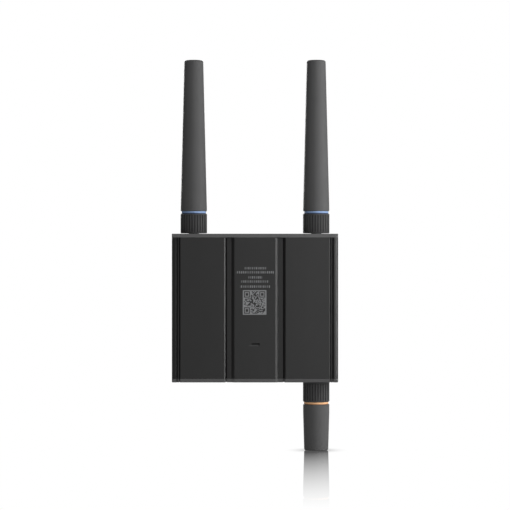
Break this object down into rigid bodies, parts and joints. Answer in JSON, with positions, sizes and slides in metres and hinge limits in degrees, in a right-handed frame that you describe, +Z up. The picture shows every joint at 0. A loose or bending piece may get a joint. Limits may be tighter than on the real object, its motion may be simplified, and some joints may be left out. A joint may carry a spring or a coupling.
{
  "type": "network terminal",
  "caption": "Slim black finned-metal network terminal held by its back, with two tall screw-on rod antennas above and a short one below, and sockets underneath.",
  "frame": {"origin": "centre of the back mounting face, in the plane of the panel faces", "axes": "+Z up along the tall antennas, +Y out of the back face, towards the wall or rail"},
  "size_m": [0.125, 0.034, 0.2953],
  "materials": {
    "anodised_case": "black anodised, fine satin",
    "anodised_plate": "black anodised, fine satin",
    "seal_rubber": "matte",
    "black_screw": "black oxide",
    "board": "solder mask over glass laminate",
    "chip": "moulded",
    "thermal_pad": "soft silicone",
    "tinned_steel": "tin plated",
    "ferrite": "pressed ferrite",
    "capacitor_can": "bare can",
    "led": "clear top",
    "clear_plastic": "clear acrylic",
    "smoked_lens": "smoked, glossy",
    "jack_plastic": "moulded black",
    "gold_contact": "gold flashed",
    "adapter_green": "moulded green",
    "shutter_plastic": "moulded green",
    "sleeve_ceramic": "polished zirconia",
    "plated_nut": "black nickel plated",
    "radome_plastic": "fine spark texture",
    "ring_blue": "blue",
    "ring_orange": "orange",
    "brass": "turned",
    "collar_plastic": "satin",
    "plated_jack": "dark nickel plated",
    "coax_jacket": "brown jacket"
  },
  "bodies": {
    "case": {"rear_plate": "anodised_case", "front_shell": "anodised_case", "top_plate": "anodised_plate", "bottom_plate": "anodised_plate", "top_gasket": "seal_rubber", "bottom_gasket": "seal_rubber", "top_plate_screws": "black_screw", "bottom_plate_screws": "black_screw", "main_board": "board", "processor_chip": "chip", "thermal_pad": "thermal_pad", "memory_chips": "chip", "radio_shields": "tinned_steel", "lan_magnetics": "chip", "power_inductor": "ferrite", "capacitors": "capacitor_can", "status_leds": "led", "light_guide": "clear_plastic", "status_lens": "smoked_lens", "lan_jack_1": "jack_plastic", "lan_jack_2": "jack_plastic", "lan_jack_3": "jack_plastic", "lan_contacts": "gold_contact", "optical_adapter": "adapter_green", "shutter_pin": "tinned_steel", "optical_sleeve": "sleeve_ceramic", "optical_transceiver": "tinned_steel", "power_header": "jack_plastic", "power_pins": "gold_contact", "reset_switch": "chip", "jack_nuts": "plated_nut", "jack_washers": "plated_nut", "antenna_jack_left": "plated_jack", "coax_pigtail_left": "coax_jacket", "antenna_jack_right": "plated_jack", "coax_pigtail_right": "coax_jacket", "antenna_jack_lower": "plated_jack", "coax_pigtail_lower": "coax_jacket"},
    "reset_button": {"reset_button": "jack_plastic"},
    "optical_shutter": {"optical_shutter": "shutter_plastic"},
    "antenna_left": {"radome_left": "radome_plastic", "id_ring_left": "ring_blue", "radiator_left": "brass"},
    "collar_left": {"grip_collar_left": "collar_plastic", "coupling_nut_left": "brass"},
    "antenna_right": {"radome_right": "radome_plastic", "id_ring_right": "ring_blue", "radiator_right": "brass"},
    "collar_right": {"grip_collar_right": "collar_plastic", "coupling_nut_right": "brass"},
    "antenna_lower": {"radome_lower": "radome_plastic", "id_ring_lower": "ring_orange", "radiator_lower": "brass"},
    "collar_lower": {"grip_collar_lower": "collar_plastic", "coupling_nut_lower": "brass"}
  },
  "joints": [
    {"name": "reset_press", "type": "slide", "parent": "case", "child": "reset_button", "axis": [0, 0, 1], "range_m": [0, 0.0006], "stiffness_N_per_m": 150, "springref_m": -0.002},
    {"name": "shutter_hinge", "type": "hinge", "parent": "case", "child": "optical_shutter", "pos_m": [0.032, -0.0233, -0.0539], "axis": [1, 0, 0], "range_deg": [0, 85], "stiffness_Nm_per_rad": 0.0002, "springref_deg": -20.05},
    {"name": "antenna_travel_left", "type": "slide", "parent": "case", "child": "antenna_left", "axis": [0, 0, 1], "range_m": [0, 0.0052]},
    {"name": "collar_turn_left", "type": "hinge", "parent": "antenna_left", "child": "collar_left", "pos_m": [0.0464, -0.017, 0.0636], "axis": [0, 0, 1], "range_deg": [0, 2520]},
    {"name": "antenna_travel_right", "type": "slide", "parent": "case", "child": "antenna_right", "axis": [0, 0, 1], "range_m": [0, 0.0052]},
    {"name": "collar_turn_right", "type": "hinge", "parent": "antenna_right", "child": "collar_right", "pos_m": [-0.0464, -0.017, 0.0636], "axis": [0, 0, 1], "range_deg": [0, 2520]},
    {"name": "antenna_travel_lower", "type": "slide", "parent": "case", "child": "antenna_lower", "axis": [0, 0, -1], "range_m": [0, 0.0052]},
    {"name": "collar_turn_lower", "type": "hinge", "parent": "antenna_lower", "child": "collar_lower", "pos_m": [-0.0464, -0.017, -0.0636], "axis": [0, 0, -1], "range_deg": [0, 2520]}
  ],
  "couplings": [
    {"joint": "antenna_travel_left", "follows": "collar_turn_left", "m_per_rad": 0.0001123},
    {"joint": "antenna_travel_right", "follows": "collar_turn_right", "m_per_rad": 0.0001123},
    {"joint": "antenna_travel_lower", "follows": "collar_turn_lower", "m_per_rad": 0.0001123}
  ]
}
